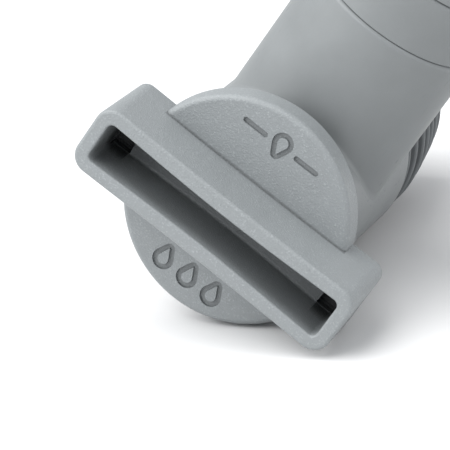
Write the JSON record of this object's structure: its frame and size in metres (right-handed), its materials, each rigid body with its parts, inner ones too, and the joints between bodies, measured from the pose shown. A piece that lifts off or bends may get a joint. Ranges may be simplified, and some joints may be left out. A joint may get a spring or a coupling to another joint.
{
  "type": "bottle pour spout",
  "caption": "Bottle pour spout with a ringed push-in stopper, a T-bar rotary plug valve and a swivelling side nozzle.",
  "frame": {"origin": "on the valve axis, in the plane of the barrel's end face, level with the bottle's lip", "axes": "+Z along the valve axis from the bottle to the knob, +Y along the branch tube to the nozzle, +X along the knob's bar at rest"},
  "size_m": [0.0366, 0.0737, 0.0701],
  "materials": {
    "grey_moulding": "satin moulded",
    "grey_grained": "fine spark grain",
    "white_acetal": "natural acetal",
    "soft_grey": "soft matt elastomer",
    "black_rubber": "matt",
    "stainless_steel": "drawn",
    "brass": "turned"
  },
  "bodies": {
    "body": {"valve_body": "grey_moulding", "port_seal": "black_rubber", "stem_bush": "white_acetal", "thrust_washer": "white_acetal", "lower_washer": "white_acetal", "stopper_core": "grey_moulding", "core_oring": "black_rubber", "finned_sleeve": "soft_grey", "inlet_spider": "grey_moulding", "air_tube": "stainless_steel", "outlet_ring": "grey_moulding", "outlet_oring": "black_rubber"},
    "plug_and_knob": {"knob": "grey_grained", "knob_screw": "stainless_steel", "screw_washer": "stainless_steel", "valve_plug": "white_acetal", "threaded_insert": "brass", "stop_pin": "stainless_steel", "plug_oring": "black_rubber", "stem_oring": "black_rubber"},
    "swivel_nozzle": {"nozzle": "grey_moulding", "nozzle_oring": "black_rubber", "nozzle_clip": "stainless_steel"}
  },
  "joints": [
    {"name": "knob_turn", "type": "hinge", "parent": "body", "child": "plug_and_knob", "pos_m": [0, 0, 0.0259], "axis": [0, 0, 1], "range_deg": [0, 180]},
    {"name": "nozzle_swivel", "type": "hinge", "parent": "body", "child": "swivel_nozzle", "pos_m": [0, 0.0327, 0.0126], "axis": [0, 1, 0], "continuous": true}
  ]
}
